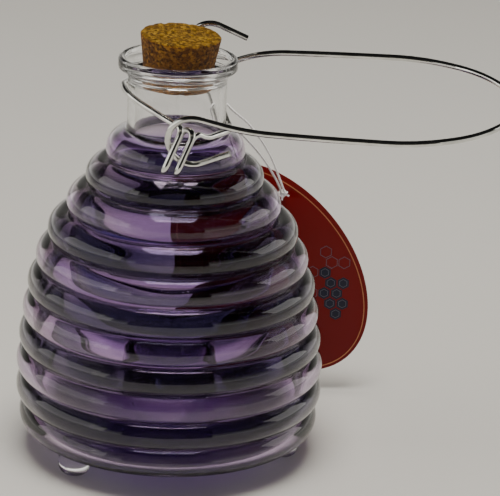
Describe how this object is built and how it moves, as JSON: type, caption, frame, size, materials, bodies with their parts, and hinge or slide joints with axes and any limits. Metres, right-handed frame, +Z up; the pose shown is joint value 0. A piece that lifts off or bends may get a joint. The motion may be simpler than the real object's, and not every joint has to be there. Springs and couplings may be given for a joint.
{
  "type": "wasp trap",
  "caption": "Ribbed beehive-shaped glass insect trap with a tapered cork, wire neck collar, swinging wire bail, entry tube in the base, small feet and an oval hang tag.",
  "frame": {"origin": "on the bottle's axis, in the plane that its three feet stand on", "axes": "+Z up along the bottle's axis, +X the way the carrying bail lies when it is folded down, -Y the front, with the hang tag on the +Y side"},
  "size_m": [0.2123, 0.1393, 0.1895],
  "materials": {
    "tinted_glass": "glossy blown glass, purple tint that fades to clear at the neck",
    "clear_glass": "glossy clear glass",
    "cork": "agglomerated cork, open grain",
    "wire": "bright drawn wire, polished",
    "card": "smooth printed card, satin",
    "thread": "soft twisted cotton thread"
  },
  "bodies": {
    "bottle": {"glass_bottle": "tinted_glass", "glass_foot_1": "clear_glass", "glass_foot_2": "clear_glass", "glass_foot_3": "clear_glass"},
    "cork": {"cork_stopper": "cork"},
    "collar": {"collar_wire": "wire"},
    "bail": {"bail_wire": "wire"},
    "tag": {"hang_tag": "card", "tag_string": "thread", "string_knot": "thread"}
  },
  "joints": [
    {"name": "cork_pull", "type": "slide", "parent": "bottle", "child": "cork", "axis": [0, 0, 1], "range_m": [0, 0.03]},
    {"name": "collar_swivel", "type": "hinge", "parent": "bottle", "child": "collar", "pos_m": [0, 0, 0.1566], "axis": [0, 0, 1], "continuous": true},
    {"name": "bail_swing", "type": "hinge", "parent": "collar", "child": "bail", "pos_m": [0.0105, -0.0004, 0.163], "axis": [-0.0968, -0.953, -0.287], "range_deg": [0, 110]},
    {"name": "tag_swing", "type": "hinge", "parent": "collar", "child": "tag", "pos_m": [0.01971, 0.01672, 0.15176], "axis": [0.2333, -0.8798, -0.4143], "range_deg": [0, 60]}
  ]
}
